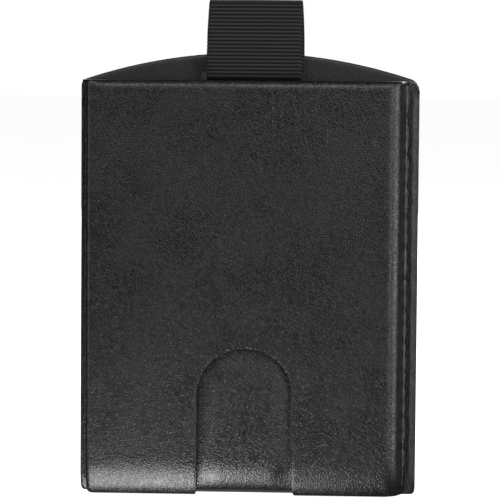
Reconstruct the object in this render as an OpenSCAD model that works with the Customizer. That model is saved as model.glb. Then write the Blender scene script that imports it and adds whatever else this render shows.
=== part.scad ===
// Slim leather card case with a ribbon pull strap, standing on its bottom fold with the mouth up.
// The front faces -Y. The origin is the middle of the bottom of the box round the whole object.
// The outer leather and the inner sleeve are two wraps, one inside the other, sewn down both sides.

/* [Case] */
// Width over both side seams
case_w = 72; // [68:0.5:90]
// Height of the front panel, from the bottom fold to the mouth
front_h = 88.5; // [80:0.5:110]
// Thickness over everything
case_t = 9.9; // [9.9:0.1:14]
// Rise of the back panel's arched top above the front panel
arch_rise = 6; // [4:0.5:10]
// Radius of the front of the bottom fold
fold_r = 4.2; // [3:0.1:4.6]
// Radius where the front panel rolls off to the side seams
roll_r = 2.6; // [2:0.1:3]

/* [Thumb cut-out] */
// Width of the cut-out in the outer leather
cutout_w = 20.4; // [14:0.2:28]
// Height of its round top above the bottom fold
cutout_h = 31.9; // [20:0.1:45]
// Its centre, measured from the middle of the case
cutout_x = -0.45; // [-4:0.05:4]

/* [Leather, board and lining] */
// Outer leather
outer_t = 0.9; // [0.7:0.05:1.1]
// Inner sleeve leather
sleeve_t = 0.7; // [0.5:0.05:0.9]
// Stiffening boards
board_t = 0.3; // [0.2:0.05:0.4]
// Lining cloth
lining_t = 0.25; // [0.15:0.05:0.3]
// Open depth of the slip pocket between the outer leather and the sleeve
slip_gap = 0.6; // [0.4:0.1:1]

/* [Seams] */
// Distance of the left stitch line from the left edge
left_stitch_in = 1; // [0.8:0.1:1.2]
// Distance of the right stitch line from the right edge
right_stitch_in = 2; // [1.5:0.1:2.2]
// Stitch spacing
stitch_pitch = 3.3; // [2.5:0.1:4.5]

/* [Ribbon strap] */
// Ribbon width
ribbon_w = 20; // [14:0.5:26]
// Ribbon thickness
ribbon_t = 0.45; // [0.3:0.05:0.5]
// Ribbon centre, measured from the middle of the case
ribbon_x = 1.2; // [-4:0.1:4]
// Height of the pull loop above the mouth
loop_h = 17; // [12:0.5:25]
// Depth of the pull loop, front to back, at its widest
loop_d = 3.4; // [2.4:0.1:3.8]
// How far the loop leans forward over the mouth's edge
loop_lean = 0.45; // [0:0.05:0.6]

/* [Hidden] */

leather_colour = [0.13, 0.13, 0.14];
sleeve_colour = [0.11, 0.11, 0.115];
board_colour = [0.45, 0.4, 0.33];
lining_colour = [0.22, 0.22, 0.24];
patch_colour = [0.3, 0.25, 0.22];
thread_colour = [0.08, 0.08, 0.085];
ribbon_colour = [0.1, 0.1, 0.11];

half_w = case_w / 2;
front_y = -case_t / 2;
back_y = case_t / 2;
arch_top = front_h + arch_rise;
arch_r = (half_w * half_w + arch_rise * arch_rise) / (2 * arch_rise);
arch_steps = 28;
corner_steps = 6;
over = 10;             // how far cutting shapes run past what they cut
corner_r = 1;          // bottom corners of the outline
fold_back_r = 2;       // back of the bottom fold

// Side walls of the raised front, and the flat seam flanges beside them
wall_left = -half_w + left_stitch_in + 0.8;
wall_right = half_w - right_stitch_in - 0.7;
flange_t = 2 * outer_t + 3 * lining_t + sleeve_t + board_t - 0.05;
flange_y = back_y - flange_t;

// Depth of each layer's outer face, from the front inwards
board_in = outer_t;
slip_lining_in = board_in + board_t;
slip_in = slip_lining_in + lining_t;
sleeve_in = slip_in + slip_gap;
sleeve_board_in = sleeve_in + sleeve_t;
front_lining_in = sleeve_board_in + board_t;
pocket_lining_t = 0.2;
pocket_in = front_lining_in + pocket_lining_t;
// and from the back inwards
back_board_in = outer_t;
back_lining_in = outer_t + board_t;
pocket_back_in = back_lining_in + lining_t;
pocket_front_y = front_y + pocket_in;
pocket_back_y = back_y - pocket_back_in;
pocket_floor = outer_t + sleeve_t + pocket_lining_t;

// Turned edges, board margins and the back facing
hem_h = 6;
hem_t = 1.05;
arch_hem_w = 2.5;
arch_hem_z = front_h - 4;
board_margin = 2.8;
sleeve_top = front_h - 0.5;
sleeve_tail_top = 12;
facing_bottom = front_h - 16;
facing_inset = 0.5;
cut_margin = 1.5;      // how far boards keep back from the thumb cut-out
cut_end_y = back_y - fold_back_r - 0.6;

// Stitches lie in grooves pressed into the leather
stitch_l = 2.5;
stitch_w = 0.5;
groove_w = 0.7;
groove_d = 0.3;
stitch_start = 4;
stitch_count = floor((front_h - 2 * stitch_start) / stitch_pitch) + 1;
left_stitch_x = -half_w + left_stitch_in;
right_stitch_x = half_w - right_stitch_in;

// Ribbon strap
strap_clear = 0.05;    // between ribbon and lining
pull_y = pocket_front_y + strap_clear;
fixed_y = pocket_back_y - strap_clear - ribbon_t;
bight_z = pocket_floor + strap_clear;
bight_top = 12;
tack_z = front_h - 8.5;
loop_open_z = front_h + 0.6;
loop_open_h = 3;       // height over which the pressed plies open into the loop
loop_top = front_h + loop_h;
patch_left_lip = 1.8;
patch_right_lip = 0.4;
patch_t = 0.45;
patch_bottom = front_h - 12.5;
patch_top = front_h + 1.8;

function arc_points(x, y, r, from, to, steps = corner_steps) =
    [for (i = [0 : steps]) let (a = from + (to - from) * i / steps) [x + r * cos(a), y + r * sin(a)]];

// Level section of a wrap: a raised front with rounded corners between flat flanges.
// side is how far its walls lie inside the outer face, flange how far its flange does.
function level_section(front, side, flange, back, edge) =
    let (
        xl = wall_left + side, xr = wall_right - side, yf = front_y + front,
        yb = back_y - back, yr = flange_y + flange, r = max(roll_r - side, 0.5)
    )
    concat(
        [[-edge, yr], [xl, yr]],
        arc_points(xl + r, yf + r, r, 180, 270),
        arc_points(xr - r, yf + r, r, 270, 360),
        [[xr, yr], [edge, yr], [edge, yb], [-edge, yb]]
    );

// Upright section of a wrap, front to back: two walls joined by the bottom fold
function upright_section(front, back, floor_z, front_top, back_top) =
    let (
        yf = front_y + front, yb = back_y - back,
        rf = max(fold_r - max(front - 0.6, floor_z), 1), rb = max(fold_back_r - back, 0.6)
    )
    concat(
        [[back_y - outer_t - 0.1, front_top], [yf, front_top]],
        arc_points(yf + rf, floor_z + rf, rf, 180, 270),
        arc_points(yb - rb, floor_z + rb, rb, 270, 360),
        [[yb, back_top], [back_y - outer_t - 0.1, back_top]]
    );

// The case seen from the front: small bottom corners and the arched top, drawn in by inset
function outline(inset) =
    let (
        w = half_w - inset, r = arch_r - inset, zc = arch_top - arch_r,
        reach = asin(w / r), bottom = inset
    )
    concat(
        arc_points(-w + corner_r, bottom + corner_r, corner_r, 180, 270),
        arc_points(w - corner_r, bottom + corner_r, corner_r, 270, 360),
        arc_points(0, zc, r, 90 - reach, 90 + reach, arch_steps)
    );

module along_x(length) rotate([90, 0, 90]) linear_extrude(height = length) children();
module along_y(from, to) translate([0, to, 0]) rotate([90, 0, 0]) linear_extrude(height = to - from) children();
module box(from, to) translate(from) cube(to - from);

// A solid wrap; an edge wider than the case cuts clean through the side seams
module wrap(front, side, flange, back, floor_z, front_top, back_top, edge = half_w)
    intersection() {
        translate([0, 0, -over])
            linear_extrude(height = back_top + 2 * over)
                polygon(level_section(front, side, flange, back, edge));
        translate([-edge - over, 0, 0])
            along_x(2 * (edge + over))
                polygon(upright_section(front, back, floor_z, front_top, back_top));
    }

module thumb_cut(margin, back_end)
    along_y(front_y - over, back_end)
        polygon(concat(
            arc_points(cutout_x, cutout_h - cutout_w / 2, cutout_w / 2 + margin, 0, 180, 18),
            [[cutout_x - cutout_w / 2 - margin, -over], [cutout_x + cutout_w / 2 + margin, -over]]
        ));

module stitch_groove(x, y_from, y_to)
    box([x - groove_w / 2, y_from, stitch_start - 2.2],
        [x + groove_w / 2, y_to, stitch_start + (stitch_count - 1) * stitch_pitch + 2]);

module stitch_row(x, y_from, y_to)
    color(thread_colour)
        for (i = [0 : stitch_count - 1])
            translate([x - stitch_w / 2, y_from, stitch_start + i * stitch_pitch - stitch_l / 2])
                cube([stitch_w, y_to - y_from, stitch_l]);

module outer_shell()
    color(leather_colour) {
        difference() {
            intersection() {
                wrap(0, 0, 0, 0, 0, front_h, arch_top + 1);
                along_y(front_y - 1, back_y + 1) polygon(outline(0));
            }
            wrap(outer_t, outer_t, outer_t, outer_t, outer_t, arch_top + over, arch_top + over, half_w + over);
            thumb_cut(0, cut_end_y);
            stitch_groove(left_stitch_x, flange_y - over, flange_y + groove_d);
            stitch_groove(right_stitch_x, flange_y - over, flange_y + groove_d);
            stitch_groove(left_stitch_x, back_y - groove_d, back_y + over);
            stitch_groove(right_stitch_x, back_y - groove_d, back_y + over);
        }
        // front edge turned in at the mouth
        box([wall_left + roll_r + 0.4, front_y + outer_t - 0.2, front_h - hem_h],
            [wall_right - roll_r - 0.4, front_y + outer_t + hem_t, front_h]);
        // back edge turned in round the arch
        intersection() {
            difference() {
                along_y(back_y - back_lining_in, back_y - 0.2) polygon(outline(0.3));
                along_y(back_y - back_lining_in - 1, back_y) polygon(outline(arch_hem_w));
            }
            box([-half_w, front_y, arch_hem_z], [half_w, back_y, arch_top + 1]);
        }
    }

module front_board()
    color(board_colour)
        difference() {
            box([wall_left + board_margin, front_y + board_in, 7],
                [wall_right - board_margin, front_y + slip_lining_in, front_h - hem_h - 0.2]);
            thumb_cut(cut_margin, back_y);
        }

module front_pocket_lining()
    color(lining_colour)
        intersection() {
            difference() {
                wrap(slip_lining_in, outer_t, outer_t, outer_t, outer_t,
                    arch_top + over, arch_top + over, half_w - 0.2);
                wrap(slip_in, outer_t + lining_t, outer_t + lining_t, -over, -over,
                    arch_top + 2 * over, arch_top + 2 * over, half_w + over);
                thumb_cut(0.4, back_y);
            }
            box([-half_w, front_y, 7], [half_w, back_y, front_h - hem_h - 0.2]);
        }

module inner_sleeve()
    color(sleeve_colour)
        difference() {
            intersection() {
                wrap(sleeve_in, outer_t + lining_t, outer_t + lining_t, outer_t, outer_t,
                    sleeve_top, sleeve_top, half_w - 0.2);
                along_y(front_y, back_y) polygon(outline(0.2));
            }
            wrap(sleeve_board_in, outer_t + lining_t + sleeve_t, outer_t + lining_t + sleeve_t,
                back_lining_in, outer_t + sleeve_t, arch_top + over, arch_top + over, half_w + over);
            // behind, only a short tail comes up from the fold
            box([-half_w - 1, back_y - back_lining_in - 0.1, sleeve_tail_top], [half_w + 1, back_y, arch_top]);
        }

module sleeve_board()
    color(board_colour)
        box([wall_left + board_margin + 0.6, front_y + sleeve_board_in, 6],
            [wall_right - board_margin - 0.6, front_y + front_lining_in, sleeve_top - 1.5]);

module pocket_lining()
    color(lining_colour)
        difference() {
            intersection() {
                wrap(front_lining_in, outer_t + lining_t + sleeve_t, outer_t + lining_t + sleeve_t,
                    back_lining_in, outer_t + sleeve_t, sleeve_top - 1, sleeve_top - 1, half_w - 0.2);
                along_y(front_y, back_y) polygon(outline(0.2));
            }
            pocket_space();
            box([-half_w - 1, pocket_back_y - 0.02, facing_bottom], [half_w + 1, back_y, arch_top]);
        }

// The main pocket's clear space, up through the mouth
module pocket_space()
    intersection() {
        translate([0, 0, -over])
            linear_extrude(height = arch_top + 2 * over)
                polygon(pocket_section());
        translate([-half_w - over, 0, 0])
            along_x(case_w + 2 * over)
                polygon(upright_section(pocket_in, pocket_back_in, pocket_floor,
                    arch_top + over, arch_top + over));
    }

function pocket_section() =
    let (
        side = outer_t + lining_t + sleeve_t + pocket_lining_t, xl = wall_left + side,
        xr = wall_right - side, r = 0.6, yf = pocket_front_y
    )
    concat(
        arc_points(xl + r, yf + r, r, 180, 270),
        arc_points(xr - r, yf + r, r, 270, 360),
        [[xr, pocket_back_y], [xl, pocket_back_y]]
    );

module back_board()
    color(board_colour)
        intersection() {
            along_y(back_y - back_lining_in, back_y - back_board_in) polygon(outline(arch_hem_w + 0.2));
            box([wall_left + board_margin, front_y, sleeve_tail_top + 0.5],
                [wall_right - board_margin, back_y, arch_top]);
        }

module mouth_facing()
    color(leather_colour)
        intersection() {
            along_y(pocket_back_y, back_y - back_lining_in) polygon(outline(facing_inset));
            box([-half_w, front_y, facing_bottom], [half_w, back_y, arch_top]);
        }

module strap_anchor_patch()
    color(patch_colour)
        difference() {
            box([ribbon_x - ribbon_w / 2 - patch_left_lip, fixed_y - strap_clear - patch_t, patch_bottom],
                [ribbon_x + ribbon_w / 2 + patch_right_lip, pocket_back_y, patch_top]);
            box([ribbon_x - ribbon_w / 2 - 0.1, fixed_y - strap_clear, patch_bottom - 1],
                [ribbon_x + ribbon_w / 2 + 0.1, pocket_back_y + 1, patch_top - 1.5]);
        }

// Two rows of stitches hold the patch and the ribbon's end
module anchor_stitches()
    color(thread_colour)
        for (z = [patch_bottom + 2, patch_top - 4.5], i = [0 : 5])
            translate([ribbon_x - ribbon_w / 2 + 1 + i * stitch_pitch, fixed_y - strap_clear - patch_t - 0.15, z])
                cube([stitch_l - 0.5, 0.15, 0.4]);

module seam_stitches_left_front() stitch_row(left_stitch_x, flange_y + 0.02, flange_y + groove_d);
module seam_stitches_left_back() stitch_row(left_stitch_x, back_y - groove_d, back_y - 0.02);
module seam_stitches_right_front() stitch_row(right_stitch_x, flange_y + 0.02, flange_y + groove_d);
module seam_stitches_right_back() stitch_row(right_stitch_x, back_y - groove_d, back_y - 0.02);

// The ribbon from its anchor down the back wall
module strap_fixed_run()
    color(ribbon_colour)
        box([ribbon_x - ribbon_w / 2, fixed_y, bight_top],
            [ribbon_x + ribbon_w / 2, fixed_y + ribbon_t, patch_top - 2]);

function bight_line(inset) =
    let (
        yf = pull_y + inset, yb = fixed_y + ribbon_t - inset, z = bight_z + inset,
        rf = 1.6 - inset, rb = 1.2 - inset
    )
    concat(
        [[yb, bight_top], [yf, bight_top]],
        arc_points(yf + rf, z + rf, rf, 180, 270),
        arc_points(yb - rb, z + rb, rb, 270, 360)
    );

// The ribbon's turn under the cards, which lifts them
module strap_bight()
    color(ribbon_colour)
        translate([ribbon_x - ribbon_w / 2, 0, 0])
            difference() {
                along_x(ribbon_w) polygon(bight_line(0));
                translate([-1, 0, 0])
                    along_x(ribbon_w + 2)
                        polygon(concat(
                            [[fixed_y, bight_top + 1], [pull_y + ribbon_t, bight_top + 1]],
                            [for (i = [2 : len(bight_line(0)) - 1]) bight_line(ribbon_t)[i]]
                        ));
            }

// The ribbon from the turn up the front wall to the loop's tack
module strap_pull_run()
    color(ribbon_colour)
        box([ribbon_x - ribbon_w / 2, pull_y, bight_top],
            [ribbon_x + ribbon_w / 2, pull_y + ribbon_t, tack_z]);

// How open the loop is at a height: pressed flat in the mouth, open just above it, closed by the top fold
ply_pair = 2 * ribbon_t + strap_clear;
function loop_open(z) = 0.5 - 0.5 * cos(180 * min(max((z - loop_open_z) / loop_open_h, 0), 1));
function loop_half(z) = ply_pair / 2 + (loop_d - ply_pair) / 2 * loop_open(z);
function loop_centre(z) = pull_y + ply_pair / 2 - loop_lean * loop_open(z);
function loop_profile(inset, from) =
    let (
        zc = loop_top - loop_d / 2, steps = 8,
        rise = concat([from], [for (i = [0 : steps]) loop_open_z + loop_open_h * i / steps])
    )
    concat(
        [for (z = rise) [loop_centre(z) + loop_half(z) - inset, z]],
        arc_points(loop_centre(zc), zc, loop_d / 2 - inset, 0, 180, 12),
        [for (i = [len(rise) - 1 : -1 : 0]) [loop_centre(rise[i]) - loop_half(rise[i]) + inset, rise[i]]]
    );

module pull_loop()
    color(ribbon_colour)
        translate([ribbon_x - ribbon_w / 2, 0, 0])
            difference() {
                along_x(ribbon_w) polygon(loop_profile(0, tack_z));
                translate([-1, 0, 0]) along_x(ribbon_w + 2) polygon(loop_profile(ribbon_t, loop_open_z + 0.2));
            }

// One dense row of stitches closes the loop below the mouth
module loop_tack_stitches()
    color(thread_colour)
        for (i = [0 : 8])
            translate([ribbon_x - 8.8 + i * 2.2 - 0.5, pull_y + ply_pair, tack_z + 1.2])
                cube([1, 0.15, 2.4]);

outer_shell();
front_board();
front_pocket_lining();
inner_sleeve();
sleeve_board();
pocket_lining();
back_board();
mouth_facing();
strap_anchor_patch();
anchor_stitches();
seam_stitches_left_front();
seam_stitches_left_back();
seam_stitches_right_front();
seam_stitches_right_back();
strap_fixed_run();
strap_bight();
strap_pull_run();
pull_loop();
loop_tack_stitches();
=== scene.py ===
import math

import bmesh
import bpy
from mathutils import Matrix, Vector, noise


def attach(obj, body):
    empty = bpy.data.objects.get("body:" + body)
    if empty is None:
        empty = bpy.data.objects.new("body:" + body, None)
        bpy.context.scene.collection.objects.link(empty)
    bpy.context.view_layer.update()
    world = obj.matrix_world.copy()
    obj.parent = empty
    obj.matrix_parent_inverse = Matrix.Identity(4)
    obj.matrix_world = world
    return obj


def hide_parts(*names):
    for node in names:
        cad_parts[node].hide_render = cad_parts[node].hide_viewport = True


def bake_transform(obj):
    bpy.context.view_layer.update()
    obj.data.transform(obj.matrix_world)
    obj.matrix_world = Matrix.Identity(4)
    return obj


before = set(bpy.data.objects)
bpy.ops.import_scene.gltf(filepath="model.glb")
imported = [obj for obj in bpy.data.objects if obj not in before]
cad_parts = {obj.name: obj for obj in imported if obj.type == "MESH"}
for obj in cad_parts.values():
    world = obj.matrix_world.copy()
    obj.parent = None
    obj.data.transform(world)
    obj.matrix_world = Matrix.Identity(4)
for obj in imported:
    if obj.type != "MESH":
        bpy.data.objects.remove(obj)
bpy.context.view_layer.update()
scene = bpy.context.scene
print("frame loaded:", len(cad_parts), "nodes")

# shapes are worked out in millimetres, upright, front towards -Y, and scaled as each piece is added
mm = 0.001
quarter = math.pi / 2

case = {
    "halfWidth": 36.0,
    "frontY": -4.95,
    "backY": 4.95,
    "flangeY": 1.45,  # face of the flat margin beside each side wall
    "wallLeft": -34.3,
    "wallRight": 33.1,
    "footLeft": 0.3,
    "footRight": 0.5,
    "leanRight": 12,  # degrees
    "height": 88.5,
    "archRise": 6.0,  # from the front panel's top to the top of the back panel
    "stitchLeft": -35.05,
    "stitchRight": 34.0,
    "stitchPitch": 3.3,
    "stitchStart": 4.0,
    "stitchCount": 25,
}
archRadius = (case["halfWidth"] ** 2 + case["archRise"] ** 2) / (2 * case["archRise"])
archCentre = case["height"] + case["archRise"] - archRadius


# small helpers
def ease(t):
    t = min(max(t, 0.0), 1.0)
    return t * t * (3 - 2 * t)


def bell(x, width):
    return math.exp(-((x / width) ** 2))


def mix(a, b, t):
    return a + (b - a) * t


def wobble(x, y, z, seed):
    return noise.noise(Vector((x, y, z + seed * 13.7)))


# evenly spaced values from low to high
def evenly(low, high, steps):
    return [low + (high - low) * i / steps for i in range(steps + 1)]


def flatLength(legs):
    return sum(length for length, turn in legs)


# point and heading after going that far along straight and curved legs of (length, turn)
def walk(start, legs, distance):
    x, y, heading = start
    for length, turn in legs:
        step = min(distance, length)
        if abs(turn) < 1e-9:
            x += step * math.cos(heading)
            y += step * math.sin(heading)
        else:
            bend = length / turn
            after = heading + turn * step / length
            x += bend * (math.sin(after) - math.sin(heading))
            y -= bend * (math.cos(after) - math.cos(heading))
            heading = after
        distance -= step
        if distance <= 1e-9:
            break
    return x, y, heading


# distances along the legs, each leg cut into its own number of equal steps
def legStops(legs, counts):
    stops, reached = [0.0], 0.0
    for (length, turn), count in zip(legs, counts):
        stops += [reached + length * (i + 1) / count for i in range(count)]
        reached += length
    return stops


# a grid in the flat, with its lines at us and vs
def flatGrid(bm, us, vs):
    nu, nv = len(us) - 1, len(vs) - 1
    made = bmesh.ops.create_grid(bm, x_segments=nu, y_segments=nv, size=0.5)["verts"]
    for vert in made:
        u, v = us[round((vert.co.x + 0.5) * nu)], vs[round((vert.co.y + 0.5) * nv)]
        vert.co = (u, v, 0)
    return made


# gives each corner its place on the flat cloth, in millimetres, as its UV
def layFlat(bm, placeOf):
    uv = bm.loops.layers.uv.new("flat")
    for f in bm.faces:
        for loop in f.loops:
            loop[uv].uv = placeOf(loop.vert.co)


# turns all the faces round if, by area, most of them, or of those given, look backwards
def faceForwards(bm, judged=None):
    bm.normal_update()
    if sum(f.normal.y * f.calc_area() for f in judged or bm.faces) > 0:
        bmesh.ops.reverse_faces(bm, faces=bm.faces)


def addPiece(name, bm, materials, body, nodes):
    bmesh.ops.scale(bm, vec=(mm, mm, mm), verts=bm.verts)
    mesh = bpy.data.meshes.new(name)
    bm.to_mesh(mesh)
    bm.free()
    mesh.shade_smooth()
    obj = bpy.data.objects.new(name, mesh)
    scene.collection.objects.link(obj)
    for material in materials:
        mesh.materials.append(material)
    if nodes:
        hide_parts(*nodes)
    if body:
        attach(obj, body)
    return obj


# gives a sheet its leather thickness, inwards from its outer face, with soft cut edges
def thicken(obj, thickness, rimMaterial=0, group=None, rimRound=0.12):
    solid = obj.modifiers.new("thickness", "SOLIDIFY")
    solid.thickness = thickness * mm
    solid.offset = -1
    solid.use_rim = True
    solid.material_offset_rim = rimMaterial
    if group:
        solid.vertex_group = group
    edge = obj.modifiers.new("softEdge", "BEVEL")
    edge.width = rimRound * mm
    edge.segments = 2
    edge.limit_method = "ANGLE"
    edge.angle_limit = math.radians(50)
    return obj


# materials
def node(tree, kind, values=None, **settings):
    made = tree.nodes.new(kind)
    for name, value in settings.items():
        setattr(made, name, value)
    for socket, value in (values or {}).items():
        made.inputs[socket].default_value = value
    return made


def maths(tree, operation, a, b=None):
    made = node(tree, "ShaderNodeMath", operation=operation)
    for i, value in enumerate((a, b)):
        if value is None:
            continue
        if isinstance(value, (int, float)):
            made.inputs[i].default_value = value
        else:
            tree.links.new(value, made.inputs[i])
    return made.outputs[0]


def product(tree, a, b):
    return maths(tree, "MULTIPLY", a, b)


# a smooth step from one range of values to another
def spread(tree, value, fromLow, fromHigh, toLow, toHigh):
    made = node(
        tree,
        "ShaderNodeMapRange",
        {1: fromLow, 2: fromHigh, 3: toLow, 4: toHigh},
        interpolation_type="SMOOTHSTEP",
    )
    tree.links.new(value, made.inputs[0])
    return made.outputs[0]


def newGroup(name, inputs, outputs):
    tree = bpy.data.node_groups.new(name, "ShaderNodeTree")
    for label, kind, value in inputs:
        socket = tree.interface.new_socket(label, in_out="INPUT", socket_type=kind)
        if value is not None:
            socket.default_value = value
    for label, kind in outputs:
        tree.interface.new_socket(label, in_out="OUTPUT", socket_type=kind)
    return (
        tree,
        tree.nodes.new("NodeGroupInput").outputs,
        tree.nodes.new("NodeGroupOutput").inputs,
    )


def inMillimetres(tree, position):
    made = node(tree, "ShaderNodeVectorMath", {"Scale": 1 / mm}, operation="SCALE")
    tree.links.new(position, made.inputs[0])
    return made.outputs[0]


def noiseAt(tree, place, scale, detail, roughness=0.5):
    made = node(tree, "ShaderNodeTexNoise", {"Scale": scale, "Detail": detail, "Roughness": roughness})
    tree.links.new(place, made.inputs["Vector"])
    return made.outputs


# fine pebbled cells with creases between them, and slow blotches of sheen
def makeLeatherGrain():
    tree, given, result = newGroup(
        "leatherGrain",
        [
            ("Position", "NodeSocketVector", None),
            ("Cells per mm", "NodeSocketFloat", 2.4),
            ("Crease", "NodeSocketFloat", 0.5),
        ],
        [
            ("Height", "NodeSocketFloat"),
            ("Cells", "NodeSocketFloat"),
            ("Blotch", "NodeSocketFloat"),
        ],
    )
    link = tree.links.new
    place = inMillimetres(tree, given["Position"])
    drift = noiseAt(tree, place, 0.9, 1.0)
    pushed = node(tree, "ShaderNodeVectorMath", operation="MULTIPLY_ADD")
    link(drift["Color"], pushed.inputs[0])
    pushed.inputs[1].default_value = (0.5, 0.5, 0.5)
    link(place, pushed.inputs[2])
    cells = node(tree, "ShaderNodeTexVoronoi", feature="DISTANCE_TO_EDGE")
    link(pushed.outputs[0], cells.inputs["Vector"])
    link(given["Cells per mm"], cells.inputs["Scale"])
    dome = spread(tree, cells.outputs["Distance"], 0.0, 0.34, 0.0, 1.0)
    tint = node(tree, "ShaderNodeTexVoronoi", feature="F1")
    link(pushed.outputs[0], tint.inputs["Vector"])
    link(given["Cells per mm"], tint.inputs["Scale"])
    split = node(tree, "ShaderNodeSeparateColor")
    link(tint.outputs["Color"], split.inputs[0])
    fine = noiseAt(tree, place, 2.6, 2.0)
    creased = product(tree, dome, given["Crease"])
    lifted = product(tree, split.outputs[0], 0.35)
    speck = product(tree, fine["Fac"], 0.4)
    total = maths(tree, "ADD", maths(tree, "ADD", creased, lifted), speck)
    slow = noiseAt(tree, place, 0.09, 3.0, 0.55)
    link(total, result["Height"])
    link(split.outputs[1], result["Cells"])
    link(spread(tree, slow["Fac"], 0.35, 0.65, 0.0, 1.0), result["Blotch"])
    return tree


# over-and-under threads across and along a fabric laid out in millimetres
def makeClothWeave():
    tree, given, result = newGroup(
        "clothWeave",
        [
            ("Flat position", "NodeSocketVector", None),
            ("Threads across per mm", "NodeSocketFloat", 3.0),
            ("Threads along per mm", "NodeSocketFloat", 3.0),
            ("Unevenness", "NodeSocketFloat", 0.4),
            ("Ribs per mm", "NodeSocketFloat", 1.28),
            ("Rib shadow", "NodeSocketFloat", 0.0),
        ],
        [("Height", "NodeSocketFloat"), ("Shade", "NodeSocketFloat")],
    )
    link = tree.links.new
    loose = noiseAt(tree, given["Flat position"], 1.7, 2.0)
    split = node(tree, "ShaderNodeSeparateXYZ")
    link(given["Flat position"], split.inputs[0])
    bent = product(tree, loose["Fac"], given["Unevenness"])
    across = product(tree, split.outputs[0], given["Threads across per mm"])
    across = maths(tree, "ADD", across, bent)
    along = product(tree, split.outputs[1], given["Threads along per mm"])
    waveA = maths(tree, "SINE", product(tree, across, math.tau))
    waveB = maths(tree, "SINE", product(tree, along, math.tau))
    woven = product(tree, waveA, waveB)
    height = maths(tree, "MULTIPLY_ADD", woven, 0.5)
    height.node.inputs[2].default_value = 0.5
    hairs = noiseAt(tree, given["Flat position"], 9.0, 4.0, 0.7)
    link(
        maths(tree, "ADD", height, product(tree, hairs["Fac"], 0.6)),
        result["Height"],
    )
    # painted shade: Rib shadow darkens the tint in the grooves between ribs
    ribs = product(tree, split.outputs[1], given["Ribs per mm"])
    turns = product(tree, ribs, math.pi)
    crest = maths(tree, "POWER", maths(tree, "ABSOLUTE", maths(tree, "SINE", turns)), 2.2)
    groove = product(tree, maths(tree, "SUBTRACT", 1.0, crest), given["Rib shadow"])
    lit = maths(tree, "SUBTRACT", 1.0, groove)
    # painted shade and light: the tint is lighter on the weave's raised threads and darker at its low
    # points; the hairs' random tone is the cloth's own
    shade = product(tree, hairs["Fac"], spread(tree, height, 0.0, 1.0, 0.7, 1.3))
    link(product(tree, shade, lit), result["Shade"])
    return tree


# loose fibres and dye loss on a cut edge
def makeEdgeWear():
    tree, given, result = newGroup(
        "edgeWear",
        [("Position", "NodeSocketVector", None), ("Amount", "NodeSocketFloat", 0.5)],
        [("Fibre", "NodeSocketFloat"), ("Worn", "NodeSocketFloat")],
    )
    link = tree.links.new
    place = inMillimetres(tree, given["Position"])
    fibre = noiseAt(tree, place, 5.0, 4.0, 0.7)
    patches = noiseAt(tree, place, 0.35, 2.0)
    patchy = spread(tree, patches["Fac"], 0.4, 0.65, 0.0, 1.0)
    worn = product(tree, patchy, given["Amount"])
    link(fibre["Fac"], result["Fibre"])
    link(product(tree, worn, fibre["Fac"]), result["Worn"])
    return tree


# slanting plies and fuzz of a waxed thread
def makeThreadTwist():
    tree, given, result = newGroup(
        "threadTwist",
        [("Position", "NodeSocketVector", None), ("Plies per mm", "NodeSocketFloat", 1.6)],
        [("Height", "NodeSocketFloat"), ("Shade", "NodeSocketFloat")],
    )
    link = tree.links.new
    place = inMillimetres(tree, given["Position"])
    bands = node(tree, "ShaderNodeTexWave", {"Distortion": 0.6, "Detail": 1.0}, bands_direction="DIAGONAL")
    link(place, bands.inputs["Vector"])
    link(given["Plies per mm"], bands.inputs["Scale"])
    fuzz = noiseAt(tree, place, 14.0, 3.0)
    link(
        maths(tree, "ADD", bands.outputs["Fac"], product(tree, fuzz["Fac"], 0.5)),
        result["Height"],
    )
    # painted shade: the tint follows the ply bands that also make the bumps, darker between the plies; the
    # fuzz is the thread's own random tone
    link(product(tree, bands.outputs["Fac"], fuzz["Fac"]), result["Shade"])
    return tree


leatherGrain = makeLeatherGrain()
clothWeave = makeClothWeave()
edgeWear = makeEdgeWear()
threadTwist = makeThreadTwist()


# a principled surface with one of the shared groups beside it
def startMaterial(name, group, position, groupValues, finish):
    material = bpy.data.materials.new(name)
    material.use_nodes = True
    tree = material.node_tree
    shader = tree.nodes["Principled BSDF"]
    for socket, value in finish.items():
        shader.inputs[socket].default_value = value
    where = node(tree, "ShaderNodeTexCoord")
    effect = node(tree, "ShaderNodeGroup", node_tree=group)
    for socket, value in groupValues.items():
        effect.inputs[socket].default_value = value
    tree.links.new(where.outputs[position], effect.inputs[0])
    return material, tree, shader, effect.outputs


def tintBetween(tree, shader, factor, dark, light):
    blend = node(tree, "ShaderNodeMix", data_type="RGBA")
    blend.inputs[6].default_value = (*dark, 1)
    blend.inputs[7].default_value = (*light, 1)
    tree.links.new(factor, blend.inputs[0])
    tree.links.new(blend.outputs[2], shader.inputs["Base Color"])


# depth is in millimetres
def bumpFrom(tree, shader, height, depth):
    bump = node(tree, "ShaderNodeBump", {"Strength": 1.0, "Distance": depth * mm})
    tree.links.new(height, bump.inputs["Height"])
    tree.links.new(bump.outputs[0], shader.inputs["Normal"])


def leatherMaterial(name, look):
    material, tree, shader, grain = startMaterial(
        name,
        leatherGrain,
        "Object",
        {"Cells per mm": look["cells"], "Crease": look["crease"]},
        {
            "Specular IOR Level": look["specular"],
            "Coat Weight": look["coat"],
            "Coat Roughness": look["coatRoughness"],
        },
    )
    tintBetween(tree, shader, grain["Cells"], look["dark"], look["light"])
    dullness = spread(tree, grain["Blotch"], 0.0, 1.0, look["glossy"], look["matt"])
    tree.links.new(dullness, shader.inputs["Roughness"])
    bumpFrom(tree, shader, grain["Height"], look["depth"])
    return material


def edgeMaterial(name, dark, light, amount):
    material, tree, shader, wear = startMaterial(
        name, edgeWear, "Object", {"Amount": amount}, {"Specular IOR Level": 0.35, "Roughness": 0.62}
    )
    tintBetween(tree, shader, wear["Worn"], dark, light)
    bumpFrom(tree, shader, wear["Fibre"], 0.08)
    return material


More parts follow.
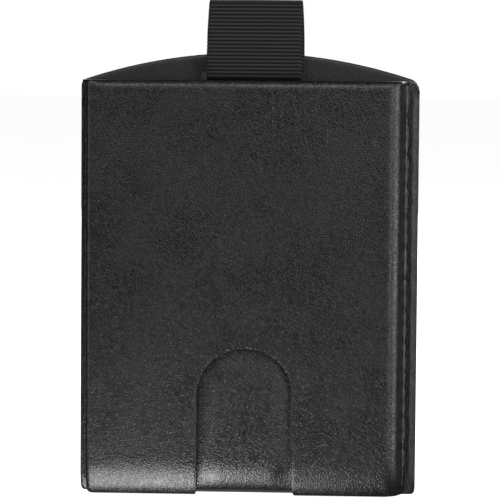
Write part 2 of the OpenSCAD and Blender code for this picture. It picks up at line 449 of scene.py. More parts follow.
def clothMaterial(name, look):
    material, tree, shader, cloth = startMaterial(
        name,
        clothWeave,
        "UV",
        {
            "Threads across per mm": look["across"],
            "Threads along per mm": look["along"],
            "Unevenness": look["unevenness"],
            "Ribs per mm": look["ribs"],
            "Rib shadow": look["ribShadow"],
        },
        {
            "Roughness": look["roughness"],
            "Specular IOR Level": look["specular"],
            "Sheen Weight": look["sheen"],
            "Sheen Roughness": 0.4,
        },
    )
    tintBetween(tree, shader, cloth["Shade"], look["dark"], look["light"])
    bumpFrom(tree, shader, cloth["Height"], look["depth"])
    return material


nappa = {
    "cells": 1.9,  # per mm
    "crease": 0.6,
    "specular": 0.5,
    "coat": 0.12,
    "coatRoughness": 0.3,
    "dark": (0.003, 0.003, 0.0035),
    "light": (0.014, 0.0137, 0.0137),
    "glossy": 0.31,
    "matt": 0.38,
    "depth": 0.055,
}
# painted light: the sleeve's leather is a little lighter than the outer's, to offset the shade it lies in
# behind the thumb cut
sleeve = {
    **nappa,
    "coat": 0.05,
    "coatRoughness": 0.35,
    "dark": (0.004, 0.004, 0.0048),
    "light": (0.016, 0.016, 0.0178),
}
outerLeather = leatherMaterial("blackNappa", nappa)
sleeveLeather = leatherMaterial("blackSleeve", sleeve)
uncoated = {"specular": 0.4, "coat": 0.0, "coatRoughness": 0.3}
facingLeather = leatherMaterial(
    "blackFacing",
    {
        **uncoated,
        "cells": 2.6,
        "crease": 0.5,
        "dark": (0.011, 0.011, 0.012),
        "light": (0.022, 0.0215, 0.022),
        "glossy": 0.45,
        "matt": 0.55,
        "depth": 0.045,
    },
)
patchLeather = leatherMaterial(
    "brownPatch",
    {
        **uncoated,
        "cells": 2.2,
        "crease": 0.6,
        "dark": (0.03, 0.025, 0.023),
        "light": (0.07, 0.058, 0.05),
        "glossy": 0.55,
        "matt": 0.65,
        "depth": 0.06,
    },
)
cutEdge = edgeMaterial("cutEdge", (0.012, 0.011, 0.011), (0.05, 0.035, 0.028), 0.7)
facingEdge = edgeMaterial("facingEdge", (0.03, 0.02, 0.016), (0.12, 0.065, 0.045), 1.0)
ribbonCloth = clothMaterial(
    "blackGrosgrain",
    {
        "across": 2.6,
        "along": 1.282,
        "unevenness": 0.5,
        "ribs": 1 / 0.78,
        "ribShadow": 1.0,
        "roughness": 0.7,
        "specular": 0.2,
        "sheen": 0.05,
        "dark": (0.001, 0.001, 0.0012),
        "light": (0.068, 0.065, 0.066),
        "depth": 0.05,
    },
)
liningCloth = clothMaterial(
    "greyLining",
    {
        "across": 3.2,
        "along": 3.2,
        "unevenness": 0.2,
        "ribs": 1.0,
        "ribShadow": 0.0,
        "roughness": 0.8,
        "specular": 0.25,
        "sheen": 0.1,
        "dark": (0.012, 0.012, 0.014),
        "light": (0.04, 0.04, 0.044),
        "depth": 0.05,
    },
)


def makeThread():
    material, tree, shader, twist = startMaterial(
        "blackThread", threadTwist, "Object", {}, {"Roughness": 0.5, "Specular IOR Level": 0.45}
    )
    tintBetween(tree, shader, twist["Shade"], (0.006, 0.006, 0.0065), (0.03, 0.0295, 0.029))
    bumpFrom(tree, shader, twist["Height"], 0.05)
    return material


def makeBoard():
    material, tree, shader, wear = startMaterial(
        "greyBoard", edgeWear, "Object", {"Amount": 0.8}, {"Roughness": 0.85, "Specular IOR Level": 0.2}
    )
    tintBetween(tree, shader, wear["Worn"], (0.16, 0.14, 0.115), (0.3, 0.27, 0.22))
    bumpFrom(tree, shader, wear["Fibre"], 0.05)
    return material


thread = makeThread()
boardCard = makeBoard()
print("materials ready")


# the wraps' shared shape
# the level section of one wrap from its left seam edge to its right one: start and legs
def levelLegs(front, inset, rollLeft, rollRight, edge):
    leftFoot, rightFoot = case["footLeft"] + inset, case["footRight"] + inset
    frontY = case["frontY"] + front
    depth = case["flangeY"] + inset - frontY
    lean = quarter - math.radians(case["leanRight"])  # the right wall leans back a little
    slope = (depth - (rollRight + rightFoot) * (1 - math.cos(lean))) / math.sin(lean)
    span = (rollRight + rightFoot) * math.sin(lean) + slope * math.cos(lean)
    flangeEnds = case["wallLeft"] - case["footLeft"], case["wallRight"] + case["footRight"]
    legs = [
        (flangeEnds[0] + edge, 0),
        (leftFoot * quarter, -quarter),
        (depth - leftFoot - rollLeft, 0),
        (rollLeft * quarter, quarter),
        (flangeEnds[1] - span - case["wallLeft"] - inset - rollLeft, 0),
        (rollRight * lean, lean),
        (slope, 0),
        (rightFoot * lean, -lean),
        (edge - flangeEnds[1], 0),
    ]
    return (-edge, case["flangeY"] + inset, 0.0), legs


# how much a rounded corner of the outline takes off at x
def cornerDrop(x, leftRadius, rightRadius, halfWidth):
    if x < leftRadius - halfWidth:
        r, d = leftRadius, leftRadius - halfWidth - x
    elif x > halfWidth - rightRadius:
        r, d = rightRadius, x - halfWidth + rightRadius
    else:
        return 0.0
    return r - math.sqrt(max(r * r - min(d, r) ** 2, 0.0))


def archTop(x):
    return archCentre + math.sqrt(archRadius**2 - x * x)


# grid lines along the wrap's length, zone by zone; each zone is (name, flat length, steps)
def zoneStops(zones):
    return legStops([(length, 0) for name, length, steps in zones], [steps for name, length, steps in zones])


def zoneAt(zones, v):
    for name, length, steps in zones:
        if v <= length + 1e-6:
            return name, v / length
        v -= length
    return zones[-1][0], 1.0


# how far round the bottom fold a point is, 0 in front and 1 behind
def turnShare(name, t):
    spans = {"toe": (0.0, 0.5), "sole": (0.5, 0.75), "heel": (0.75, 1.0)}
    if name in spans:
        return ease((mix(*spans[name], t) - 0.3) / 0.7)
    return 0.0 if name in ("hem", "lip", "front", "drop") else 1.0


# behind the fold the sheet is flat, so its columns spread evenly between the knots of (u, x)
def behindX(u, knots):
    for (u0, x0), (u1, x1) in zip(knots, knots[1:]):
        if u <= u1 or (u1, x1) == knots[-1]:
            return mix(x0, x1, (u - u0) / (u1 - u0))
    return knots[-1][1]


# a point on the bottom fold: long soft front curve, flat underside, tight back curve
def foldPoint(name, t, front, fold, bottom):
    back = fold["backY"]
    depth = min(fold["frontDepth"], 0.45 * (back - front))
    rise = fold["frontRise"] * (0.35 + 0.65 * depth / fold["frontDepth"])
    heel = min(fold["backRadius"], 0.4 * (back - front))
    if name == "drop":
        return front, mix(fold["from"], bottom + rise, t)
    if name == "toe":
        a = t * math.pi / 2
        return front + depth * (1 - math.cos(a)), bottom + rise * (1 - math.sin(a))
    if name == "sole":
        return mix(front + depth, back - heel, t), bottom
    if name == "heel":
        a = t * math.pi / 2
        return back - heel + heel * math.sin(a), bottom + heel * (1 - math.cos(a))
    return back, mix(bottom + heel, fold["to"], t)


# outer shell
shell = {
    "thickness": 0.9,
    "rollLeft": 1.0,
    "rollRight": 3.1,
    "lipFront": 1.1,
    "lipBack": 0.95,
    "lipDrop": 1.25,
    "lipShape": 1.35,
    "closedLip": {"front": 0.5, "back": 0.45, "drop": 0.45, "shape": 1.9},  # beside the seams
    "hem": 5.0,
    "rimRadius": 0.6,
    "tuck": 1.9,
    "cutX": -0.45,
    "cutRadius": 10.2,
    "cutTop": 31.9,
    "cutEndY": 2.35,
    "flare": 0.55,
    "topCornerLeft": 1.0,
    "topCornerRight": 1.7,
    "bottomCorner": 1.0,
    "grooveDepth": 0.17,
    "wave": 0.2,
    "pucker": 0.16,
    "edgeRoll": 0.24,
    "bead": 0.1,
    "seamHeights": (1.2, 86.6),
    "columnSteps": [10, 3, 9, 8, 32, 31, 30, 11, 8, 3, 14],
}
shellFold = {"backY": 4.95, "frontDepth": 4.2, "frontRise": 8.6, "backRadius": 2.0, "from": 10.0, "to": 4.0}
shellStart, shellLegs = levelLegs(0, 0, shell["rollLeft"], shell["rollRight"], case["halfWidth"])
# how much leather each turn takes, laid flat
turned = {"lip": 3.4, "drop": 2.0, "toe": 9.0, "sole": 3.7, "heel": 3.1, "rise": 2.0, "rim": 1.9}
shellZones = [
    ("hem", shell["hem"], 4),
    ("lip", turned["lip"], 13),
    ("front", case["height"] - shell["lipDrop"] - shellFold["from"], 116),
    ("drop", turned["drop"], 3),
    ("toe", turned["toe"], 18),
    ("sole", turned["sole"], 6),
    ("heel", turned["heel"], 6),
    ("rise", turned["rise"], 2),
    ("back", 88.0, 56),
    ("rim", turned["rim"], 8),
    ("tuck", shell["tuck"], 2),
]

cutSides = (shell["cutX"] - shell["cutRadius"], shell["cutX"] + shell["cutRadius"])
domeStart = flatLength(shellLegs[:4])
domeX = case["wallLeft"] + shell["rollLeft"]
shellKnots = [
    (0.0, -case["halfWidth"]),
    (domeStart + cutSides[0] - domeX, cutSides[0]),
    (domeStart + cutSides[1] - domeX, cutSides[1]),
    (flatLength(shellLegs), case["halfWidth"]),
]


# 1 in the middle of a stitch, 0 at the holes
def stitchPhase(z):
    return 0.5 + 0.5 * math.cos(math.tau * (z - case["stitchStart"]) / case["stitchPitch"])


# the pressed stitch line and the slight ridges beside it, as depth below the flange's face
def seamRelief(x, z, side):
    line = case["stitchLeft"] if side < 0 else case["stitchRight"]
    line += 0.1 * math.sin(z * 0.9 + side) + 0.08 * wobble(z * 0.4, side, 0, 5)
    low, high = shell["seamHeights"]
    inRow = ease((z - low) / 1.2) * ease((high - z) / 1.4)
    press = shell["grooveDepth"] * (0.1 + 0.9 * stitchPhase(z)) * bell(x - line + 0.16, 0.26)
    press += shell["edgeRoll"] * ease((side * (x - line) - 0.3) / 1.9)
    ridge = -0.05 * bell(x - line - 0.7 * side, 0.35)
    return (press + ridge) * inRow


# slow hollows in the front panel, pulled into puckers beside the seams
def panelRelief(x, z):
    inside = ease((x - case["wallLeft"]) / 9) * ease((case["wallRight"] - x) / 9)
    high = ease((z - 2) / 12) * ease((88 - z) / 10)
    slow = 0.5 + 0.5 * wobble(x * 0.05, z * 0.035, 0, 1) + 0.25 * wobble(x * 0.13, z * 0.09, 0, 2)
    hollow = shell["wave"] * slow * inside * high
    left, right = x - case["wallLeft"], case["wallRight"] - x
    lowLeft = 0.35 + 0.65 * ease((42 - z) / 25)
    pull = bell(left, 3.4) * lowLeft + 0.55 * bell(right, 4.2)
    everyOther = math.tau * z / case["stitchPitch"] * 0.5
    crease = 0.5 + 0.5 * math.sin(everyOther + 1.4 * wobble(z * 0.13, x * 0.05, 0, 3))
    crease = crease * 0.6 + 0.4 * (0.5 + wobble(x * 0.25, z * 0.33, 0, 4))
    return hollow + shell["pucker"] * pull * crease * ease((z - 3) / 5) * ease((86 - z) / 4)


def shellPoint(u, v):
    zone, t = zoneAt(shellZones, v)
    x, front, heading = walk(shellStart, shellLegs, u)
    x = mix(x, behindX(u, shellKnots), turnShare(zone, t))
    topCut = cornerDrop(x, shell["topCornerLeft"], shell["topCornerRight"], case["halfWidth"])
    bottom = cornerDrop(x, shell["bottomCorner"], shell["bottomCorner"], case["halfWidth"])
    top = case["height"] - topCut
    # the lip narrows and the edge closes towards the seams
    opening = ease((x - case["wallLeft"] + 0.6) / 4.5) * ease((case["wallRight"] - x + 0.6) / 6.0)
    closed = shell["closedLip"]
    lipDrop = mix(closed["drop"], shell["lipDrop"], opening)
    lipFront = mix(closed["front"], shell["lipFront"], opening)
    lipBack = mix(closed["back"], shell["lipBack"], opening)
    lipMiddle = front + lipFront
    power = 2 / mix(closed["shape"], shell["lipShape"], opening)
    if zone == "hem":
        return Vector((x, lipMiddle + lipBack, mix(top - lipBack - shell["hem"], top - lipBack, t)))
    if zone == "lip":
        if t < 0.5:
            a = t * math.pi
            return Vector((x, lipMiddle + lipBack * math.cos(a), top - lipBack * (1 - math.sin(a))))
        a = (1 - t) * math.pi
        y = lipMiddle - lipFront * max(math.cos(a), 0) ** power
        z = top - lipDrop * (1 - max(math.sin(a), 0) ** power)
        return Vector((x, y + panelRelief(x, z), z))
    if zone == "front":
        z = mix(top - lipDrop, shellFold["from"], t)
    if zone in ("front", "drop", "toe"):
        if zone == "front":
            y = front
        else:
            y, z = foldPoint(zone, t, front, shellFold, bottom)
        level = abs(math.cos(heading))
        if zone == "front":
            y -= shell["bead"] * opening * bell(z - top + shell["lipDrop"] + 0.35, 0.45) * level
        fade = 1.0 if zone != "toe" else 1 - ease(t * 1.6)
        depth = panelRelief(x, z) * fade
        if x < case["wallLeft"] or x > case["wallRight"]:
            depth = 0.0
        else:
            x += math.sin(heading) * -depth * 0.8
        depth *= level
        if level > 0.9 and front > 0:
            depth += seamRelief(x, z, -1 if x < 0 else 1) * fade
        return Vector((x, y + depth, z))
    if zone in ("sole", "heel", "rise"):
        y, z = foldPoint(zone, t, front, shellFold, bottom)
        return Vector((x, y, z))
    backTop = archTop(x) - topCut
    rim = shell["rimRadius"]
    if zone == "back":
        z = mix(shellFold["to"], backTop - rim, t)
        y = case["backY"]
        if abs(x) > 33:
            y -= seamRelief(x, z, -1 if x < 0 else 1)
        middle = ease((34 - abs(x)) / 8) * ease((z - 4) / 8) * ease((90 - z) / 8)
        y -= 0.12 * middle * (0.5 + 0.5 * wobble(x * 0.06, z * 0.04, 0, 8))
        return Vector((x, y, z))
    if zone == "rim":
        a = t * math.pi
        return Vector((x, case["backY"] - rim + rim * math.cos(a), backTop - rim + rim * math.sin(a)))
    return Vector((x, case["backY"] - 2 * rim, backTop - rim - shell["tuck"] * t))


def buildShell():
    cutLeft, cutRight = cutSides
    domeEndX = domeX + shellLegs[4][0]  # the front panel's flat part runs from domeX to here

    def across(x):
        return domeStart + x - domeX

    legs = shellLegs[:4] + [
        (cutLeft - domeX, 0),
        (cutRight - cutLeft, 0),
        (domeEndX - cutRight, 0),
    ] + shellLegs[5:]
    columns = legStops(legs, shell["columnSteps"])
    rows = zoneStops(shellZones)
    frontFrom = shell["hem"] + turned["lip"]
    centreU = across(shell["cutX"])
    centreV = frontFrom + case["height"] - shell["lipDrop"] - (shell["cutTop"] - shell["cutRadius"])
    frontLength = case["height"] - shell["lipDrop"] - shellFold["from"]
    soleFrom = frontFrom + frontLength + turned["drop"] + turned["toe"]
    soleFrontY = case["frontY"] + shellFold["frontDepth"]
    soleDepth = shellFold["backY"] - shellFold["backRadius"] - soleFrontY
    cutEnd = soleFrom + turned["sole"] * (shell["cutEndY"] - soleFrontY) / soleDepth
    nearest = min(range(len(rows)), key=lambda i: abs(rows[i] - cutEnd))
    rows[nearest] = cutEnd

    bm = bmesh.new()
    flatGrid(bm, columns, rows)
    radius = shell["cutRadius"]

    def inCut(p):
        if p.y > cutEnd or abs(p.x - centreU) > radius:
            return False
        return p.y > centreV or (p.xy - Vector((centreU, centreV))).length < radius

    gone = [f for f in bm.faces if inCut(f.calc_center_median())]
    bmesh.ops.delete(bm, geom=gone, context="FACES")
    # the stepped top of the cut is drawn onto its half circle and the grid beside it evened out
    rimVerts = []
    for vert in bm.verts:
        off = vert.co.xy - Vector((centreU, centreV))
        onCut = vert.is_boundary and abs(off.x) < radius + 0.01 and vert.co.y < cutEnd + 0.01
        if onCut and off.length < radius + 2 and vert.co.y < centreV:
            off = off.normalized() * radius
            vert.co.xy = Vector((centreU, centreV)) + off
        if onCut:
            rimVerts.append(vert)
    held = set(rimVerts)
    near = [
        v
        for v in bm.verts
        if v not in held
        and v.co.y < centreV + 1
        and radius - 0.5 < (v.co.xy - Vector((centreU, centreV))).length < radius + 2.6
    ]
    for times in range(6):
        bmesh.ops.smooth_vert(bm, verts=near, factor=0.5, use_axis_x=True, use_axis_y=True)
    # hem faces stay out of the seams, where the edge is closed
    hemEnd = shell["hem"] + 0.01
    seamU = flatLength(shellLegs[:4]) - 0.3
    seamEndU = flatLength(shellLegs[:5]) + 0.3
    tuckFrom = rows[-3] - 0.01
    gone = []
    for f in bm.faces:
        c = f.calc_center_median()
        if c.y < hemEnd and not seamU < c.x < seamEndU:
            gone.append(f)
        if c.y > tuckFrom and not 1.2 < c.x < columns[-1] - 1.2:
            gone.append(f)
    bmesh.ops.delete(bm, geom=gone, context="FACES")

    thin = bm.verts.layers.deform.verify()
    toeFrom = soleFrom - turned["toe"]
    rimFrom = rows[-1] - shell["tuck"] - turned["rim"]
    for vert in bm.verts:
        u, v = vert.co.x, vert.co.y
        side = u - centreU
        if toeFrom < v < cutEnd + 2:
            down = ease((v - toeFrom - 5.2) / 4.5) * (1 - ease((v - cutEnd) / 2))
            reach = abs(side) - radius
            if reach > -0.01:
                u += math.copysign(shell["flare"] * down * bell(reach, 2.5), side)
        vert[thin][0] = mix(1.0, 0.31, ease((v - rimFrom + 1.5) / 2.4))
        vert.co = shellPoint(u, v)
    faceForwards(bm, [f for f in bm.faces if abs(f.calc_center_median().y - case["frontY"]) < 0.3])
    obj = addPiece("outerShell", bm, [outerLeather, cutEdge], "case", ["outer_shell"])
    obj.vertex_groups.new(name="thickness")
    return thicken(obj, shell["thickness"], 1, "thickness", 0.16)


outerShell = buildShell()
print("outer shell:", len(outerShell.data.polygons), "faces")


# inner wraps
# a plain inner wrap: front panel, and the fold and back tail if it has them
def buildWrap(name, spec, materials, nodes):
    start, legs = levelLegs(spec["front"], spec["inset"], spec["roll"], spec["roll"], spec["edge"])
    counts = [3, 3, 5, 5, spec["across"], 5, 5, 3, 4]
    zones = [("front", spec["top"] - spec["bottomOfFront"], spec["down"])]
    if spec["fold"]:
        zones += [("drop", 1.0, 2), ("toe", 8.0, 16), ("sole", 4.0, 6), ("heel", 2.0, 5), ("rise", 2.0, 2)]
        zones += [("back", spec["tail"] - spec["fold"]["to"], spec["up"])]
    bm = bmesh.new()
    flatGrid(bm, legStops(legs, counts), zoneStops(zones))
    total = flatLength(legs)
    seamLeft, seamRight = legs[0][0] + legs[1][0] * 0.6, total - legs[8][0] - legs[7][0] * 0.6
    sides = case["wallLeft"] + spec["inset"] - 0.3, case["wallRight"] - spec["inset"] + 0.3
    knots = [(seamLeft, sides[0]), (seamRight, sides[1])]
    frontEnd = zones[0][1]
    gone = []
    for f in bm.faces:
        c = f.calc_center_median()
        if (c.x < seamLeft or c.x > seamRight) and c.y > frontEnd:
            gone.append(f)
        if spec.get("cut") and abs(c.x - total * 0.5 - spec["cut"]["x"]) < spec["cut"]["half"]:
            z = spec["top"] - c.y
            if z < spec["cut"]["top"]:
                gone.append(f)
    bmesh.ops.delete(bm, geom=gone, context="FACES")
    layFlat(bm, lambda place: place.xy)
    thick = bm.verts.layers.deform.verify()
    for vert in bm.verts:
        u, v = vert.co.x, vert.co.y
        zone, t = zoneAt(zones, v)
        x, front, heading = walk(start, legs, u)
        if spec["fold"]:
            x = mix(x, behindX(u, knots), turnShare(zone, t))
        flange = front > case["flangeY"] - 0.2
        if zone == "front":
            top = spec["top"] - spec["flangeDrop"] * ease((front + 1) / 2.2)
            y, z = front, mix(top, spec["bottomOfFront"], t)
        elif zone == "back":
            y, z = spec["fold"]["backY"], mix(spec["fold"]["to"], spec["tail"], t)
        else:
            y, z = foldPoint(zone, t, front, spec["fold"], spec["floor"])
        # it swells into the thumb cut
        if not flange and zone in ("front", "drop", "toe"):
            swell = ease((9.6 - abs(x - shell["cutX"])) / 4.5) * ease((31.5 - z) / 6.0)
            y -= spec["swell"] * swell * (1 - ease((t - 0.2) / 0.8) if zone == "toe" else 1.0)
        if not flange:
            y += spec["wave"] * (0.5 + 0.5 * wobble(x * 0.07, z * 0.05, y * 0.1, 11)) * ease((z - 2) / 10)
        vert[thick][0] = spec["flangeShare"] if flange else 1.0
        vert.co = (x, y, z)
    faceForwards(bm, [f for f in bm.faces if f.calc_center_median().y < case["flangeY"] - 2])
    obj = addPiece(name, bm, materials, "case", nodes)
    obj.vertex_groups.new(name="thickness")
    return thicken(obj, spec["thickness"], 1, "thickness", spec["rimRound"])


sleeveSpec = {
    "front": 2.08,
    "inset": 1.17,
    "roll": 1.45,
    "edge": 35.8,
    "top": 88.0,
    "bottomOfFront": 10.0,
    "fold": {"backY": 4.02, "frontDepth": 3.2, "frontRise": 7.9, "backRadius": 1.2, "from": 10.0, "to": 3.5},
    "floor": 0.95,
    "tail": 12.0,
    "across": 96,
    "down": 84,
    "up": 8,
    "flangeDrop": 1.6,
    "flangeShare": 0.95,
    "thickness": 0.66,
    "wave": 0.05,
    "swell": 0.6,
    "rimRound": 0.12,
}
buildWrap("innerSleeve", sleeveSpec, [sleeveLeather, cutEdge], ["inner_sleeve"])

slipLiningSpec = {
    "front": 1.22,
    "inset": 0.93,
    "roll": 1.67,
    "edge": 35.8,
    "top": 82.2,
    "bottomOfFront": 10.5,
    "fold": None,
    "cut": {"x": -0.9, "half": 10.9, "top": 32.5},
    "across": 60,
    "down": 60,
    "flangeDrop": 0.0,
    "flangeShare": 0.95,
    "thickness": 0.21,
    "wave": 0.0,
    "swell": 0.0,
    "rimRound": 0.03,
}
buildWrap("slipLining", slipLiningSpec, [liningCloth, liningCloth], ["front_pocket_lining"])

pocketLiningSpec = {
    "front": 3.06,
    "inset": 1.87,
    "roll": 0.8,
    "edge": 35.8,
    "top": 87.0,
    "bottomOfFront": 10.0,
    "fold": {"backY": 3.72, "frontDepth": 2.2, "frontRise": 4.0, "backRadius": 1.0, "from": 10.0, "to": 3.6},
    "floor": 1.63,
    "tail": 72.3,
    "across": 60,
    "down": 60,
    "up": 44,
    "flangeDrop": 1.2,
    "flangeShare": 1.0,
    "thickness": 0.18,
    "wave": 0.0,
    "swell": 0.0,
    "rimRound": 0.03,
}
buildWrap("pocketLining", pocketLiningSpec, [liningCloth, liningCloth], ["pocket_lining"])
print("inner wraps ready")


# facing behind the mouth
facing = {"frontY": 3.5, "thickness": 0.24, "bottom": 72.5, "height": 22, "inset": 0.5}


def buildFacing():
    bm = bmesh.new()
    half = case["halfWidth"] - facing["inset"]
    flatGrid(bm, evenly(-half, half, 110), evenly(0, 1, 30))
    layFlat(bm, lambda place: (place.x, place.y * facing["height"]))
    for vert in bm.verts:
        x, t = vert.co.x, vert.co.y
        top = archCentre + math.sqrt((archRadius - facing["inset"]) ** 2 - x * x)
        top -= cornerDrop(x, 1.0, 2.2, half)
        z = mix(facing["bottom"], top, t)
        y = facing["frontY"] - 0.03 + 0.03 * wobble(x * 0.1, z * 0.1, 0, 21)
        vert.co = (x, y, z)
    faceForwards(bm)
    obj = addPiece("mouthFacing", bm, [facingLeather, facingEdge], "case", ["mouth_facing"])
    return thicken(obj, facing["thickness"], 1, None, 0.05)


buildFacing()

# patch over the ribbon's anchor
patch = {
    "left": -10.6,
    "right": 11.6,
    "bottom": 76.0,
    "top": 90.3,
    "frontY": 2.5,
    "edgeY": 3.03,
    "thickness": 0.42,
    "leftLip": 1.7,
    "rightLip": 0.5,
    "corner": 0.9,
}


def buildPatch():
    bm = bmesh.new()
    flatGrid(bm, evenly(patch["left"], patch["right"], 60), evenly(patch["bottom"], patch["top"], 40))
    middle = (patch["left"] + patch["right"]) / 2
    half = (patch["right"] - patch["left"]) / 2
    height = patch["top"] - patch["bottom"]
    for vert in bm.verts:
        x, t = vert.co.x, (vert.co.y - patch["bottom"]) / height
        drop = cornerDrop(x - middle, patch["corner"], patch["corner"], half)
        z = patch["bottom"] + drop + (height - 2 * drop) * t
        cover = ease((x - patch["left"]) / patch["leftLip"]) * ease((patch["right"] - x) / patch["rightLip"])
        cover *= ease((patch["top"] - z) / 1.6)
        y = mix(patch["edgeY"], patch["frontY"], cover) + 0.04 * wobble(x * 0.3, z * 0.3, 0, 31)
        vert.co = (x, y, z)
    faceForwards(bm)
    obj = addPiece(
        "strapAnchorPatch", bm, [patchLeather, cutEdge], "case", ["strap_anchor_patch"]
    )
    return thicken(obj, patch["thickness"], 1, None, 0.1)


buildPatch()
print("facing and patch ready")


def addThread(name, bm, body, nodeName):
    bmesh.ops.recalc_face_normals(bm, faces=bm.faces)
    return addPiece(name, bm, [thread], body, [nodeName])


# one sunk stitch: a slack twisted bead whose ends go down into their holes
def addStitch(bm, middle, along, across, up, size):
    length, width, height = size
    made = flatGrid(bm, evenly(0, 1, 8), evenly(0, 1, 7))
    for vert in made:
        a, t = vert.co.x * math.tau, vert.co.y
        roundness = math.sqrt(max(1 - abs(2 * t - 1) ** 2.6, 0.0))
        twist = 1 + 0.09 * math.cos(2 * a + 9 * t)
        sag = height * (0.9 * math.sin(math.pi * t) - 0.75)
        point = middle + along * (t - 0.5) * length
        point += across * 0.5 * width * roundness * twist * math.cos(a)
        point += up * (sag + 0.5 * height * roundness * twist * math.sin(a))
        vert.co = point
    bmesh.ops.remove_doubles(bm, verts=made, dist=0.002)


seams = {"length": 2.7, "width": 0.44, "height": 0.3, "lean": 0.2, "jitter": 0.09}


def buildSeam(name, nodeName, side, back):
    bm = bmesh.new()
    line = case["stitchLeft"] if side < 0 else case["stitchRight"]
    faceY = case["backY"] if back else case["flangeY"]
    up = Vector((0, 1 if back else -1, 0))
    start, count, pitch = case["stitchStart"], case["stitchCount"], case["stitchPitch"]
    spots = [(start + i * pitch, 0.0) for i in range(count)]
    # the ends are sewn over again, half a stitch on
    doubled = [start + pitch * 0.5, start + pitch * 1.45] + [start + (count - 1.5) * pitch]
    if not back:
        doubled.append(start + (count - 2.45) * pitch)
    spots += [(z, 0.22 if i % 2 else -0.2) for i, z in enumerate(doubled)]
    for i, (z, shift) in enumerate(spots):
        wander = 0.1 * math.sin(z * 0.9 + side) + seams["jitter"] * wobble(z * 1.7, side, 0, 41)
        lean = seams["lean"] * (1 if side > 0 else 0.5) + 0.12 * wobble(z * 1.3, side, 3, 43)
        along = Vector((math.sin(lean), 0, math.cos(lean)))
        across = Vector((math.cos(lean), 0, -math.sin(lean)))
        middle = Vector((line + wander + shift, faceY, z))
        addStitch(bm, middle, along, across, up, (seams["length"], seams["width"], seams["height"]))
    return addThread(name, bm, "case", nodeName)


buildSeam("seamStitchesLeftFront", "seam_stitches_left_front", -1, False)
buildSeam("seamStitchesLeftBack", "seam_stitches_left_back", -1, True)
buildSeam("seamStitchesRightFront", "seam_stitches_right_front", 1, False)
buildSeam("seamStitchesRightBack", "seam_stitches_right_back", 1, True)


anchorRows = {"heights": (78.2, 86.0), "first": -6.8, "pitch": 3.3, "count": 6, "size": (2.6, 0.42, 0.24)}
tackRow = {"height": 82.4, "y": -0.66, "first": -7.6, "pitch": 1.6, "count": 12, "size": (2.5, 0.4, 0.16)}


def buildAnchorStitches():
    bm = bmesh.new()
    along, across, up = Vector((1, 0, 0)), Vector((0, 0, 1)), Vector((0, -1, 0))
    for z in anchorRows["heights"]:
        for i in range(anchorRows["count"]):
            x = anchorRows["first"] + i * anchorRows["pitch"]
            middle = Vector((x, patch["frontY"] - 0.02, z + 0.05 * wobble(i, z, 0, 45)))
            addStitch(bm, middle, along, across, up, anchorRows["size"])
    return addThread("anchorStitches", bm, "case", "anchor_stitches")


def buildTackStitches():
    bm = bmesh.new()
    along, across, up = Vector((0.05, 0, 1)), Vector((1, 0, 0)), Vector((0, 1, 0))
    for i in range(tackRow["count"]):
        x = tackRow["first"] + i * tackRow["pitch"]
        middle = Vector((x, tackRow["y"], tackRow["height"] + 0.12 * wobble(i, 0, 0, 47)))
        addStitch(bm, middle, along, across, up, tackRow["size"])
    return addThread("loopTackStitches", bm, "pull_tab", "loop_tack_stitches")


buildAnchorStitches()
buildTackStitches()
print("stitches ready")

# ribbon
ribbon = {
    "middle": 1.2,
    "width": 20.0,
    "thickness": 0.44,
    "pitch": 0.78,
    "ribDepth": 0.2,
    "selvage": 0.07,
    "pullY": -1.425,
    "fixedY": 3.225,
    "anchorTop": 88.2,
    "runBottom": 12.0,
    "turnZ": 2.075,
    "heelRadius": 0.975,
    "toeRadius": 1.375,
    "tackZ": 80.0,
}


# 0 in the groove between two ribs, 1 on the crest
def ribAt(s):
    return abs(math.sin(math.pi * s / ribbon["pitch"])) ** 0.55


# a ribbed band along legs in the upright plane. phase is the length of ribbon before its start
def buildRibbon(name, nodeName, start, legs, phase, spec, body):
    total = flatLength(legs)
    rows = max(8, round(total / ribbon["pitch"] * spec["perRib"]))
    sideSteps = spec["across"]
    half, thick = ribbon["width"] / 2, ribbon["thickness"] / 2
    around = 2 * (sideSteps + 3)
    bm = bmesh.new()
    flatGrid(bm, range(around + 1), evenly(0, total, rows))

    # place on the band's outline as (across, out): front side, right edge, back side, left edge
    def section(i):
        i = i % around
        if i <= sideSteps:
            return mix(-1, 1, i / sideSteps), 1.0
        if i < sideSteps + 3:
            return 1.0, mix(1, -1, (i - sideSteps) / 3)
        if i <= 2 * sideSteps + 3:
            return mix(1, -1, (i - sideSteps - 3) / sideSteps), -1.0
        return -1.0, mix(-1, 1, (i - 2 * sideSteps - 3) / 3)

    layFlat(bm, lambda place: (section(round(place.x))[0] * half, place.y + phase))
    for vert in bm.verts:
        i, s = round(vert.co.x), vert.co.y
        side, out = section(i)
        y, z, heading = walk(start, legs, s)
        rib = ribAt(s + phase + 0.06 * wobble(side * 1.5, (s + phase) * 0.2, 0, 51))
        proud = thick - ribbon["ribDepth"] * (1 - rib)
        if abs(out) < 0.99:
            reach = half + ribbon["selvage"] * (0.3 + 0.7 * rib)
        else:
            reach = half - 0.06
        reach -= spec["taper"](s, total)
        x = ribbon["middle"] + spec["shift"](s, total) + side * reach
        x += 0.05 * wobble((s + phase) * 0.25, side, 0, 53)
        sway = spec["sway"] * wobble(side * 0.9, (s + phase) * 0.09, 0, 55)
        off = proud * out + sway
        vert.co = (x, y - math.sin(heading) * off, z + math.cos(heading) * off)
    bmesh.ops.remove_doubles(bm, verts=bm.verts, dist=0.004)
    bmesh.ops.holes_fill(bm, edges=[e for e in bm.edges if e.is_boundary], sides=0)
    bmesh.ops.recalc_face_normals(bm, faces=bm.faces)
    return addPiece(name, bm, [ribbonCloth], body, [nodeName])


def noShift(s, total):
    return 0.0


plain = {"perRib": 6, "across": 16, "taper": noShift, "shift": noShift, "sway": 0.0}

